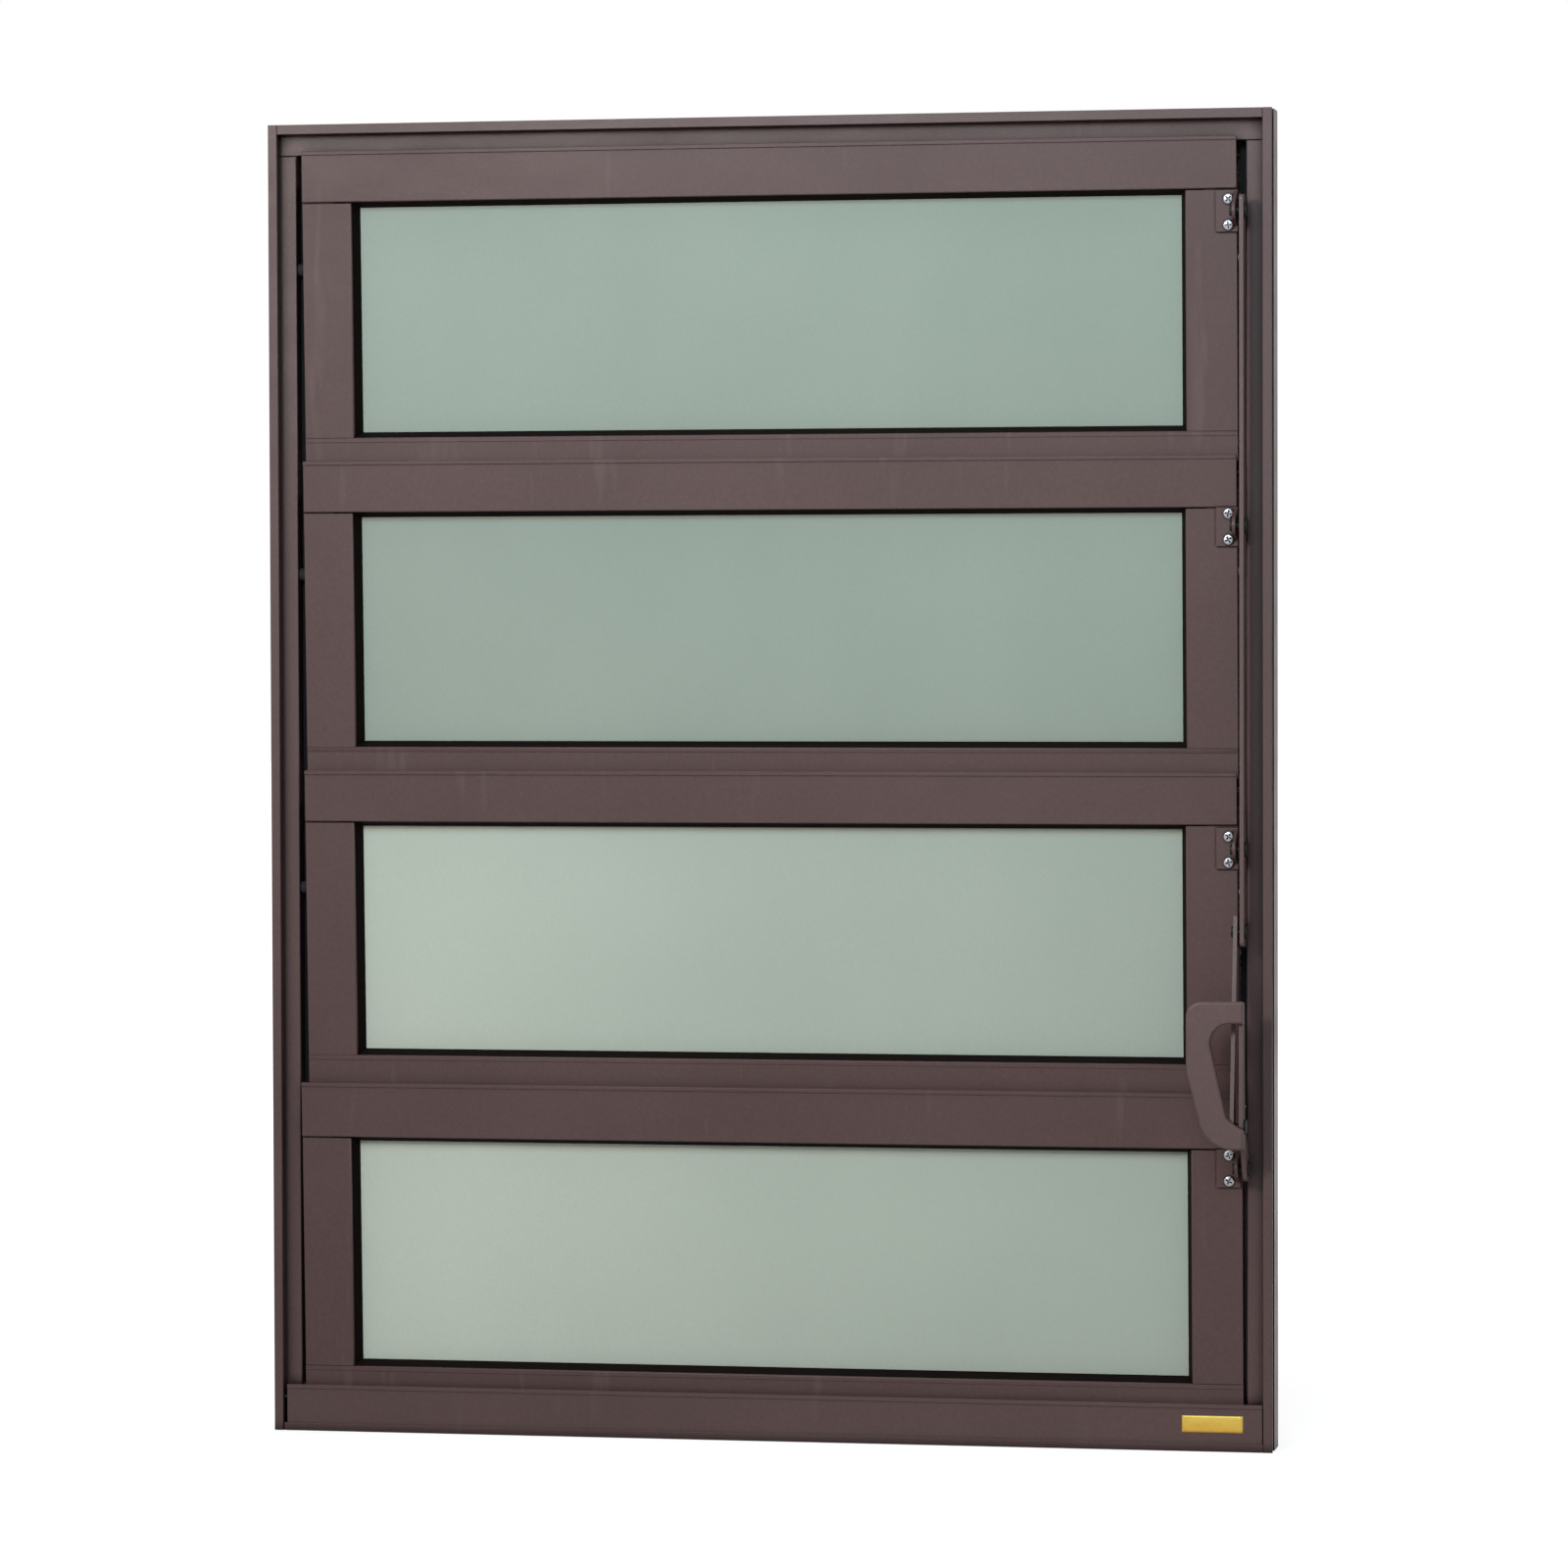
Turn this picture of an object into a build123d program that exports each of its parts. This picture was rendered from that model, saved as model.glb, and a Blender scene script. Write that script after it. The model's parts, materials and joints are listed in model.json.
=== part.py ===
from build123d import *
from collections import namedtuple
import math
import os

# Horizontal pivot window, seen from the room: three vents that pivot together over
# a fixed light, worked by a lever and a flat-bar linkage on the right-hand side.
# Millimetres. +X right, +Y outdoors, +Z up. The window is drawn with the room faces
# of the frame's lips at Y = 0 and then moved towards the room by half the frame's
# depth, which puts the origin in the middle of the sill's underside.

# Outer frame
WIDTH = 600.0
HEIGHT = 780.0
DEPTH = 48.0
FRAME_WALL = 1.5
LIP_WIDTH = 5.5
LIP_RISE = 6.8
JAMB_FACE = 15.6
HEAD_LIP = 5.7
HEAD_TUBE = 14.0
HEAD_FACE = 18.0
DRIP_SETBACK = 28.0
DRIP_LENGTH = 12.0
SIDE_CHANNEL_Y = (1.6, 10.5)
SIDE_CHANNEL_DEPTH = 1.2
SIDE_STEP_Y = 30.0
SIDE_STEP_IN = 4.0
SEAM = 0.7
SEAM_DEPTH = 0.9

# Sill
SILL_LIP = 4.7
SILL_SETBACK = 0.8
SILL_FACE_TOP = 27.6
SILL_STEP_Y = 25.0
SILL_OUTER_HIGH = 9.0
SILL_OUTER_LOW = 5.0
SILL_LEFT_GAP = 2.2
SILL_RIGHT_GAP = 0.5

# Leaves: each is a vent, or the fixed light at the bottom
VENT_COUNT = 3
VENT_TOP = 764.5
PITCH = 184.3
FIXED_TOP = 209.3
FIXED_HALF = 282.3
LEAF_HEIGHT = 188.3
LEAF_DEPTH = 22.0
LEAF_WALL = 1.6
LEAN_DEG = 2.0
SIDE_GAP = 5.0
STILE_WIDTH = 30.0
STILE_TUBE = 18.0
STILE_SETBACK = 0.8
STILE_SEAM = 0.8
TOP_RAIL_FACE = 30.5
FIXED_RAIL_FACE = 32.5
TOP_RAIL_LIP = 10.0
TOP_RAIL_TUBE = 12.0
BOTTOM_RAIL_FACE = 17.8
BOTTOM_RAIL_TUBE = 9.5
DRIP_FLANGE = 10.0
DRIP_WALL = 1.3
BACK_LEG = 6.0
BACK_LEG_SIDE = 8.0
BEAD_RISE = 0.6
TOP_BEAD = 2.4
LOWER_BEAD = 2.8
FIXING_RIB = (9.0, 11.0)

# Glass and gasket
GLASS_THICKNESS = 5.0
GLASS_SETBACK = 9.5
GLASS_CLEARANCE = 1.5
GASKET_SIGHT = 3.2

# Pivots of the vents
PIVOT_BELOW_TOP = 69.8
PIVOT_Y = 12.0
PIVOT_RADIUS = 2.5
RUNNING_CLEARANCE = 0.05
PIVOT_SEAT = 6.0
PIVOT_REACH = 12.0
BUSH_RADIUS = 3.6
BUSH_STAND_OFF = 4.4
BUSH_LENGTH = 8.0

# Linkage: the crank runs from a pivot to its pin, and is the same on each vent and
# on the lever, so the connecting bar keeps upright as everything turns
CRANK_Y = -19.0
CRANK_Z = 26.0
VENT_PIN_Z = (720.3, 538.5, 351.2)
FULCRUM_Z = 166.0
EAR_X = (278.2, 280.2)
FIXED_EAR_X = (279.4, 281.4)
LINK_X = (278.8, 281.2)
BAR_X = (282.6, 285.0)
BAR_WIDTH = 12.7
BAR_TOP_OVER_PIN = 9.2
BAR_BOTTOM_UNDER_PIN = 8.6
BAR_CORNER = 3.0
LINK_TOP_PIN_Z = 303.6
LINK_TOP_OVER_PIN = 9.4
LINK_HALF_WIDTH = 6.0
LINK_CORNER = 1.5

# Brackets and rivets
PLATE_LEFT_X = 267.4
PLATE_HALF_HEIGHT = 12.0
BRACKET_THICKNESS = 2.0
EAR_NOSE_RADIUS = 6.0
RIVET_RADIUS = 2.0
LEFT_HEAD_RADIUS = 3.3
RIGHT_HEAD_RADIUS = 4.3
RIVET_HEAD = 1.5
SIDE_PLAY = 0.2
HEAD_SIDES = 24

# Lever
LEVER_X = (284.2, 286.6)
HANDLE_FRONT_Y = -36.5
HANDLE_THICKNESS = 4.0
HANDLE_X = (254.0, 287.4)
HANDLE_Z = (179.2, 264.8)
HANDLE_BEND_Z = 224.5
HANDLE_LOW_CORNER_X = 265.9
HANDLE_CHAMFER = 1.1
OPENING_TOP_Z = 252.0
OPENING_LEFT_X = 265.3
OPENING_LOW = (277.4, 197.1)
OPENING_LOW_SLOPE = 0.7
LEVER_BOSS_RADIUS = 7.3
LEVER_PIN_RADIUS = 6.5
LEVER_TOP_WIDTH = 10.0

# Worked-out places
LEAN = math.radians(LEAN_DEG)
JAMB_X = WIDTH / 2 - JAMB_FACE
LIP_X = WIDTH / 2 - LIP_WIDTH
WEB_X = WIDTH / 2 - SIDE_CHANNEL_DEPTH - FRAME_WALL
BACK_WEB_X = WIDTH / 2 - SIDE_STEP_IN - FRAME_WALL
VENT_HALF = JAMB_X - SIDE_GAP
LEAF_FRONT = PIVOT_Y + (PIVOT_BELOW_TOP * math.sin(LEAN) - PIVOT_Y) / math.cos(LEAN)
FACE = LEAF_FRONT + STILE_SETBACK
LEAF_BACK = LEAF_FRONT + LEAF_DEPTH
GLASS_FRONT = FACE + GLASS_SETBACK
GLASS_BACK = GLASS_FRONT + GLASS_THICKNESS
PIN_Y = PIVOT_Y + CRANK_Y
LEVER_PIN_Y = PIN_Y + CRANK_Y
LEVER_PIN_Z = FULCRUM_Z + CRANK_Z
HANDLE_BACK_Y = HANDLE_FRONT_Y + HANDLE_THICKNESS
FIXED_SEAT = (
    FIXED_TOP
    - PIVOT_BELOW_TOP
    + (FACE - PIVOT_Y) * math.sin(LEAN)
    - (LEAF_HEIGHT - PIVOT_BELOW_TOP) * math.cos(LEAN)
)

# A leaf's top, half width, height of the axis it leans about, and top rail's face
Leaf = namedtuple("Leaf", "top half axis_z face_height")


def box(x, y, z):
    """A box from three (low, high) pairs."""
    spans = (x, y, z)
    size = [high - low for low, high in spans]
    middle = [(low + high) / 2 for low, high in spans]
    return Pos(*middle) * Box(*size)


def along_x(outline, low, high):
    """Extrude a flat outline in Y and Z from one X to another."""
    return Pos(low, 0, 0) * extrude(Plane.YZ * outline, amount=high - low)


def along_z(outline, low, high):
    """Extrude a flat outline in X and Y from one Z to another."""
    return Pos(0, 0, low) * extrude(outline, amount=high - low)


def polygon(points, radius=0.0):
    """A face from its corners, with one radius or a radius for each corner."""
    return make_face(FilletPolyline(*points, radius=radius, close=True))


def patch(u, v):
    """A rectangle from two (low, high) pairs."""
    return polygon([(u[0], v[0]), (u[1], v[0]), (u[1], v[1]), (u[0], v[1])])


def hollow(outline, wall):
    """The wall of an extrusion whose outer form is the outline."""
    return outline - offset(outline, amount=-wall, kind=Kind.INTERSECTION)


def disc(centre, radius):
    """A round face about a point of the outline's plane."""
    return Pos(*centre) * Circle(radius)


def rod(x, radius, y, z):
    """A round bar along X."""
    return along_x(disc((y, z), radius), x[0], x[1])


def facet_disc(x, radius, y, z):
    """A flat disc along X with straight sides round its rim."""
    return along_x(Pos(y, z) * RegularPolygon(radius, HEAD_SIDES), x[0], x[1])


def mirrored(shape):
    """The same piece on the left-hand side."""
    return mirror(shape, about=Plane.YZ)


# Outer frame


def stepped_ends(shape):
    """Cut back the ends of a cross member where the jambs' sides step in."""
    for side in (-1, 1):
        end = sorted((side * BACK_WEB_X, side * WIDTH))
        shape -= box(end, (SIDE_STEP_Y - FRAME_WALL, 2 * DEPTH), (-1, HEIGHT + 1))
    return shape


def head_blank():
    """Lip and tube of the head, filled, as the jambs are cut to fit them."""
    tube_low = HEIGHT - HEAD_TUBE
    face_low = HEIGHT - HEAD_FACE
    lip = along_x(patch((0, LIP_RISE), (HEIGHT - HEAD_LIP, HEIGHT)), -LIP_X, LIP_X)
    tube = along_x(patch((LIP_RISE, DEPTH), (tube_low, HEIGHT)), -WEB_X, WEB_X)
    face = along_x(patch((LIP_RISE, LIP_RISE + FRAME_WALL), (face_low, tube_low)), -WEB_X, WEB_X)
    return stepped_ends(lip + tube + face)


def head():
    """Top member, whose recessed face runs down behind the first vent's lip."""
    tube_low = HEIGHT - HEAD_TUBE
    tube_room = patch(
        (LIP_RISE + FRAME_WALL, DEPTH - FRAME_WALL),
        (tube_low + FRAME_WALL, HEIGHT - FRAME_WALL),
    )
    lip_room = patch(
        (FRAME_WALL, LIP_RISE + FRAME_WALL),
        (HEIGHT - HEAD_LIP + FRAME_WALL, HEIGHT - FRAME_WALL),
    )
    drip = patch(
        (DRIP_SETBACK, DRIP_SETBACK + FRAME_WALL),
        (tube_low - DRIP_LENGTH, tube_low),
    )
    piece = head_blank() - along_x(tube_room + lip_room, -WIDTH, WIDTH)
    return piece + along_x(drip, -JAMB_X, JAMB_X)


def sill_outline():
    """Section of the sill: a seat for the fixed light and a sloped outer ledge."""
    return polygon(
        [
            (SILL_SETBACK, 0),
            (DEPTH, 0),
            (DEPTH, SILL_OUTER_LOW),
            (SILL_STEP_Y, SILL_OUTER_HIGH),
            (SILL_STEP_Y, FIXED_SEAT),
            (SILL_SETBACK, FIXED_SEAT),
        ]
    )


def sill_blank():
    """The sill filled, as the jambs are cut to fit it."""
    body = stepped_ends(along_x(sill_outline(), -WEB_X, WEB_X))
    for side in (-1, 1):
        lip_side = sorted((side * LIP_X, side * WIDTH))
        body -= box(lip_side, (-1, LIP_RISE), (-1, HEIGHT))
    toe = along_x(patch((0, SILL_SETBACK), (0, SILL_LIP)), SEAM - LIP_X, LIP_X)
    return body + toe


def sill():
    """Bottom member with its room-side face standing up in front of the seat."""
    room = offset(sill_outline(), amount=-FRAME_WALL, kind=Kind.INTERSECTION)
    piece = sill_blank() - along_x(room, -WIDTH, WIDTH)
    ends = (SILL_LEFT_GAP - LIP_X, LIP_X - SILL_RIGHT_GAP)
    for gap in ((-LIP_X, ends[0]), (ends[1], LIP_X)):
        piece -= box(gap, (0, FRAME_WALL + SILL_SETBACK), (SILL_LIP, HEIGHT))
    face = patch((SILL_SETBACK, SILL_SETBACK + FRAME_WALL), (FIXED_SEAT, SILL_FACE_TOP))
    bead = patch((SILL_SETBACK - BEAD_RISE, SILL_SETBACK), (SILL_FACE_TOP - TOP_BEAD, SILL_FACE_TOP))
    return piece + along_x(face + bead, *ends)


def jamb_outline():
    """Section of the right jamb: a tube with a lip in front and a channel outside."""
    side = WIDTH / 2
    bottom = side - SIDE_CHANNEL_DEPTH
    back = side - SIDE_STEP_IN
    return polygon(
        [
            (side, 0),
            (side, SIDE_CHANNEL_Y[0]),
            (bottom, SIDE_CHANNEL_Y[0]),
            (bottom, SIDE_CHANNEL_Y[1]),
            (side, SIDE_CHANNEL_Y[1]),
            (side, SIDE_STEP_Y),
            (back, SIDE_STEP_Y),
            (back, DEPTH),
            (JAMB_X, DEPTH),
            (JAMB_X, LIP_RISE),
            (LIP_X, LIP_RISE),
            (LIP_X, 0),
        ],
        [0.5, 0, 0, 0, 0.4, 0, 0, 0, 0, 0.8, 0, 0.5],
    )


def right_jamb():
    """Full-height side member, coped round the head and the sill."""
    piece = along_z(hollow(jamb_outline(), FRAME_WALL), 0, HEIGHT)
    piece -= head_blank() + sill_blank()
    face_low = HEIGHT - HEAD_FACE
    piece -= box((JAMB_X - 1, LIP_X), (LIP_RISE - 1, LIP_RISE + SEAM_DEPTH), (face_low - SEAM, face_low))
    for index in range(VENT_COUNT):
        piece -= rod((JAMB_X - 1, JAMB_X + FRAME_WALL + 1), BUSH_RADIUS, PIVOT_Y, pivot_z(index))
    return piece


def pivot_z(index):
    """Height of a vent's pivot axis."""
    return VENT_PIN_Z[index] - CRANK_Z


def pivot_bushes():
    """Plain bushes in both jambs, standing out of them to keep each vent central."""
    bushes = []
    for index in range(VENT_COUNT):
        z = pivot_z(index)
        span = (JAMB_X - BUSH_STAND_OFF, JAMB_X + BUSH_LENGTH)
        bush = rod(span, BUSH_RADIUS, PIVOT_Y, z)
        bush -= rod(span, PIVOT_RADIUS + RUNNING_CLEARANCE, PIVOT_Y, z)
        bushes += [bush, mirrored(bush)]
    return bushes


# Leaves, each drawn upright with its top at a height and then leaned about its axis


def leaned(shape, leaf):
    """Lean a leaf's piece so that its top laps in front of what is above it."""
    axis = Axis((0, PIVOT_Y, leaf.axis_z), (1, 0, 0))
    return shape.rotate(axis, LEAN_DEG)


def top_rail(leaf):
    """Tube with a tall face, a lip above it and glazing legs below it."""
    top = leaf.top
    tube = (top - TOP_RAIL_LIP - TOP_RAIL_TUBE, top - TOP_RAIL_LIP)
    face = (LEAF_FRONT, LEAF_FRONT + LEAF_WALL)
    section = hollow(patch((LEAF_FRONT, LEAF_BACK), tube), LEAF_WALL)
    section += polygon(
        [
            (face[0], top - leaf.face_height),
            (face[1], top - leaf.face_height),
            (face[1], top),
            (face[0] - BEAD_RISE, top),
            (face[0] - BEAD_RISE, top - TOP_BEAD),
            (face[0], top - TOP_BEAD),
        ],
        [0.7, 0, 0, 0.5, 0.3, 0],
    )
    rail = along_x(section, -leaf.half, leaf.half)
    leg = patch((LEAF_BACK - LEAF_WALL, LEAF_BACK), (tube[0] - BACK_LEG, tube[0]))
    inside = leaf.half - STILE_TUBE
    return rail + along_x(leg, -inside, inside)


def bottom_rail(leaf):
    """Tube with a short face, glazing legs above it and a drip flange behind."""
    low = leaf.top - LEAF_HEIGHT
    tube = (low, low + BOTTOM_RAIL_TUBE)
    high = low + BOTTOM_RAIL_FACE
    section = hollow(patch((FACE, LEAF_BACK), tube), LEAF_WALL)
    section += polygon(
        [
            (FACE + LEAF_WALL, low),
            (FACE + LEAF_WALL, high),
            (FACE - BEAD_RISE / 2, high),
            (FACE - BEAD_RISE / 2, high - LOWER_BEAD),
            (FACE, high - LOWER_BEAD),
            (FACE, low),
        ],
        [0, 0, 0.7, 0.2, 0, 0],
    )
    section += patch((LEAF_BACK - DRIP_WALL, LEAF_BACK), (low - DRIP_FLANGE, low))
    rail = along_x(section, -leaf.half, leaf.half)
    leg = patch((LEAF_BACK - LEAF_WALL, LEAF_BACK), (tube[1], tube[1] + BACK_LEG))
    inside = leaf.half - STILE_TUBE
    return rail + along_x(leg, -inside, inside)


def right_stile(leaf):
    """Side tube with a face that butts under the top rail's and on the bottom rail's."""
    low = leaf.top - LEAF_HEIGHT
    tube_ends = (low + BOTTOM_RAIL_TUBE, leaf.top - TOP_RAIL_LIP - TOP_RAIL_TUBE)
    face_ends = (low + BOTTOM_RAIL_FACE, leaf.top - leaf.face_height - STILE_SEAM)
    half = leaf.half
    inside = half - STILE_TUBE
    stile = along_z(hollow(patch((inside, half), (FACE, LEAF_BACK)), LEAF_WALL), *tube_ends)
    stile -= box((0, WIDTH), (0, LEAF_FRONT + LEAF_WALL), (face_ends[1], HEIGHT))
    stile -= box((0, WIDTH), (0, FACE + LEAF_WALL), (0, face_ends[0]))
    face = polygon(
        [
            (half - STILE_WIDTH, FACE),
            (inside, FACE),
            (inside, FACE + LEAF_WALL),
            (half - STILE_WIDTH, FACE + LEAF_WALL),
        ],
        [0.8, 0, 0, 0],
    )
    leg = patch((inside - BACK_LEG_SIDE, inside), (LEAF_BACK - LEAF_WALL, LEAF_BACK))
    leg_ends = (tube_ends[0] + BACK_LEG, tube_ends[1] - BACK_LEG)
    return stile + along_z(face, *face_ends) + along_z(leg, *leg_ends)


def drilled_stile(leaf):
    """A vent's right stile, with the hole that its pivot pin is fixed in."""
    span = (leaf.half - LEAF_WALL - 1, leaf.half + 1)
    return right_stile(leaf) - rod(span, PIVOT_RADIUS, PIVOT_Y, leaf.axis_z)


def ribbed_stile(leaf):
    """The fixed light's right stile, with the rib that it is fixed to the jamb by."""
    low = leaf.top - LEAF_HEIGHT + BOTTOM_RAIL_TUBE
    high = leaf.top - TOP_RAIL_LIP - TOP_RAIL_TUBE
    rib = patch((leaf.half, JAMB_X), (FACE + FIXING_RIB[0], FACE + FIXING_RIB[1]))
    return right_stile(leaf) + along_z(rib, low, high)


def glass(leaf):
    """The pane, held behind the gasket on all four sides."""
    edge = leaf.half - STILE_TUBE - GLASS_CLEARANCE
    low = leaf.top - LEAF_HEIGHT + BOTTOM_RAIL_TUBE + GLASS_CLEARANCE
    high = leaf.top - TOP_RAIL_LIP - TOP_RAIL_TUBE - GLASS_CLEARANCE
    return box((-edge, edge), (GLASS_FRONT, GLASS_BACK), (low, high))


def sloped_opening(near, far):
    """A four-sided hole that narrows from one Y to another; each end is Y, X, Z spans."""
    ends = []
    for y, x, z in (near, far):
        middle = ((x[0] + x[1]) / 2, y, (z[0] + z[1]) / 2)
        plane = Plane(middle, x_dir=(1, 0, 0), z_dir=(0, -1, 0))
        ends.append(plane * Rectangle(x[1] - x[0], z[1] - z[0]))
    return loft(ends)


def gasket(leaf):
    """Channel round the pane's edge, sloping from the face's edge down to the glass."""
    low = leaf.top - LEAF_HEIGHT
    tube_z = (low + BOTTOM_RAIL_TUBE, leaf.top - TOP_RAIL_LIP - TOP_RAIL_TUBE)
    sight_z = (low + BOTTOM_RAIL_FACE, leaf.top - leaf.face_height)
    inside = leaf.half - STILE_TUBE
    sight = leaf.half - STILE_WIDTH
    front = FACE + LEAF_WALL
    back = LEAF_BACK - LEAF_WALL
    ring = box((-inside, inside), (front, back), tube_z)
    glass_x = (-sight + GASKET_SIGHT, sight - GASKET_SIGHT)
    glass_z = (sight_z[0] + GASKET_SIGHT, sight_z[1] - GASKET_SIGHT)
    back_x = (-inside + BACK_LEG_SIDE, inside - BACK_LEG_SIDE)
    back_z = (tube_z[0] + BACK_LEG, tube_z[1] - BACK_LEG)
    ring -= sloped_opening((front, (-sight, sight), sight_z), (GLASS_FRONT, glass_x, glass_z))
    ring -= sloped_opening((back, back_x, back_z), (GLASS_BACK, glass_x, glass_z))
    return ring - glass(leaf)


def bracket(leaf, pin_z, ear_x):
    """Plate on the stile, bent forward at its edge into an ear that takes a rivet."""
    dy = PIN_Y - PIVOT_Y
    dz = pin_z - leaf.axis_z
    pin = (
        PIVOT_Y + dy * math.cos(LEAN) + dz * math.sin(LEAN),
        leaf.axis_z - dy * math.sin(LEAN) + dz * math.cos(LEAN),
    )
    plate_front = FACE - BRACKET_THICKNESS
    high = min(pin[1] + PLATE_HALF_HEIGHT, leaf.top - leaf.face_height)
    low = pin[1] - PLATE_HALF_HEIGHT
    plate = box((PLATE_LEFT_X, ear_x[1]), (plate_front, FACE), (low, high))
    root = disc((plate_front + 1, high - 1), 1.0).edges()
    root += disc((plate_front + 1, low + 4), 1.0).edges()
    nose = disc(pin, EAR_NOSE_RADIUS).edges()
    ear = along_x(make_hull(root + nose), *ear_x)
    hole = rod((ear_x[0] - 1, ear_x[1] + 1), RIVET_RADIUS + RUNNING_CLEARANCE, *pin)
    return plate + ear - hole


def pivot_pins(leaf):
    """Plain pins driven into both stiles."""
    span = (leaf.half - PIVOT_SEAT, leaf.half + PIVOT_REACH)
    pin = rod(span, PIVOT_RADIUS, PIVOT_Y, leaf.axis_z)
    return [pin, mirrored(pin)]


def leaf_pieces(name, leaf, pin_z, ear_x, stile):
    """All pieces of a vent or of the fixed light, by name."""
    right = stile(leaf)
    pieces = {
        "top_rail": top_rail(leaf),
        "bottom_rail": bottom_rail(leaf),
        "right_stile": right,
        "left_stile": mirrored(right),
        "glass": glass(leaf),
        "gasket": gasket(leaf),
        "bracket": bracket(leaf, pin_z, ear_x),
    }
    return {f"{name}_{part}": leaned(shape, leaf) for part, shape in pieces.items()}


# Linkage


def rivet(y, z, near_x, far_x):
    """Rivet fast in the right-hand flat piece, running through the left-hand one."""
    left_end = near_x[0] - SIDE_PLAY
    body = rod((left_end, far_x[1]), RIVET_RADIUS, y, z)
    body += facet_disc((left_end - RIVET_HEAD, left_end), LEFT_HEAD_RADIUS, y, z)
    return body + facet_disc((far_x[1], far_x[1] + RIVET_HEAD), RIGHT_HEAD_RADIUS, y, z)


def connecting_bar():
    """Flat bar beside the vents, from the first vent's rivet to the link's."""
    low = LINK_TOP_PIN_Z - BAR_BOTTOM_UNDER_PIN
    high = VENT_PIN_Z[0] + BAR_TOP_OVER_PIN
    sides = (PIN_Y - BAR_WIDTH / 2, PIN_Y + BAR_WIDTH / 2)
    outline = polygon(
        [(sides[0], low), (sides[1], low), (sides[1], high), (sides[0], high)],
        BAR_CORNER,
    )
    for z in VENT_PIN_Z + (LINK_TOP_PIN_Z,):
        outline -= disc((PIN_Y, z), RIVET_RADIUS + RUNNING_CLEARANCE)
    return along_x(outline, *BAR_X)


def link_bar():
    """Flat link from the connecting bar's foot down to the lever's crank pin."""
    top = Vector(PIN_Y, LINK_TOP_PIN_Z)
    foot = Vector(LEVER_PIN_Y, LEVER_PIN_Z)
    up = (top - foot).normalized()
    across = Vector(-up.Y, up.X) * (LINK_HALF_WIDTH - LINK_CORNER)
    end = top + up * (LINK_TOP_OVER_PIN - LINK_CORNER)
    corners = (end + across, end - across)
    edges = disc((foot.X, foot.Y), LINK_HALF_WIDTH).edges()
    for corner in corners:
        edges += disc((corner.X, corner.Y), LINK_CORNER).edges()
    outline = make_hull(edges)
    for centre in (top, foot):
        outline -= disc((centre.X, centre.Y), RIVET_RADIUS + RUNNING_CLEARANCE)
    return along_x(outline, *LINK_X)


def lever_arm():
    """Flat web of the lever, from its fulcrum up behind the handle."""
    fulcrum = (PIN_Y, FULCRUM_Z)
    crank_pin = (LEVER_PIN_Y, LEVER_PIN_Z)
    back = HANDLE_BACK_Y + LEVER_TOP_WIDTH
    low = HANDLE_Z[0] + 1
    high = HANDLE_Z[1] - 1
    web = polygon(
        [
            (HANDLE_BACK_Y, low),
            (LEVER_PIN_Y, low),
            (LEVER_PIN_Y + LEVER_PIN_RADIUS, LEVER_PIN_Z),
            (back, high),
            (HANDLE_BACK_Y, high),
        ],
        [3.0, 0, 6.0, 3.0, 0],
    )
    ends = disc(crank_pin, LEVER_PIN_RADIUS).edges() + disc(fulcrum, LEVER_BOSS_RADIUS).edges()
    web += make_hull(ends)
    for centre in (fulcrum, crank_pin):
        web -= disc(centre, RIVET_RADIUS + RUNNING_CLEARANCE)
    return along_x(web, *LEVER_X)


def lever_handle():
    """Flat D-shaped grip facing the room, whose two arms end on the web."""
    left, right = HANDLE_X
    low, high = HANDLE_Z
    outer = polygon(
        [
            (right, high),
            (left, high),
            (left, HANDLE_BEND_Z),
            (HANDLE_LOW_CORNER_X, low),
            (right, low),
        ],
        [1.5, 9.0, 40.0, 20.0, 1.5],
    )
    far = right + 5
    opening = polygon(
        [
            (far, OPENING_TOP_Z),
            (OPENING_LEFT_X, OPENING_TOP_Z),
            OPENING_LOW,
            (far, OPENING_LOW[1] - OPENING_LOW_SLOPE * (far - OPENING_LOW[0])),
        ],
        [0, 11.5, 8.0, 0],
    )
    face = Plane((0, HANDLE_BACK_Y, 0), x_dir=(1, 0, 0), z_dir=(0, -1, 0))
    handle = extrude(face * (outer - opening), amount=HANDLE_THICKNESS)
    front_edges = handle.faces().sort_by(Axis.Y)[0].edges()
    return chamfer(front_edges, HANDLE_CHAMFER)


def linkage():
    """The bars, the lever and their rivets, by name."""
    bar_rivets = [rivet(PIN_Y, z, EAR_X, BAR_X) for z in VENT_PIN_Z]
    bar_rivets.append(rivet(PIN_Y, LINK_TOP_PIN_Z, LINK_X, BAR_X))
    lever_rivets = [
        rivet(PIN_Y, FULCRUM_Z, FIXED_EAR_X, LEVER_X),
        rivet(LEVER_PIN_Y, LEVER_PIN_Z, LINK_X, LEVER_X),
    ]
    return {
        "connecting_bar": connecting_bar(),
        "bar_rivets": bar_rivets,
        "link_bar": link_bar(),
        "lever_arm": lever_arm(),
        "lever_handle": lever_handle(),
        "lever_rivets": lever_rivets,
    }


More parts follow.
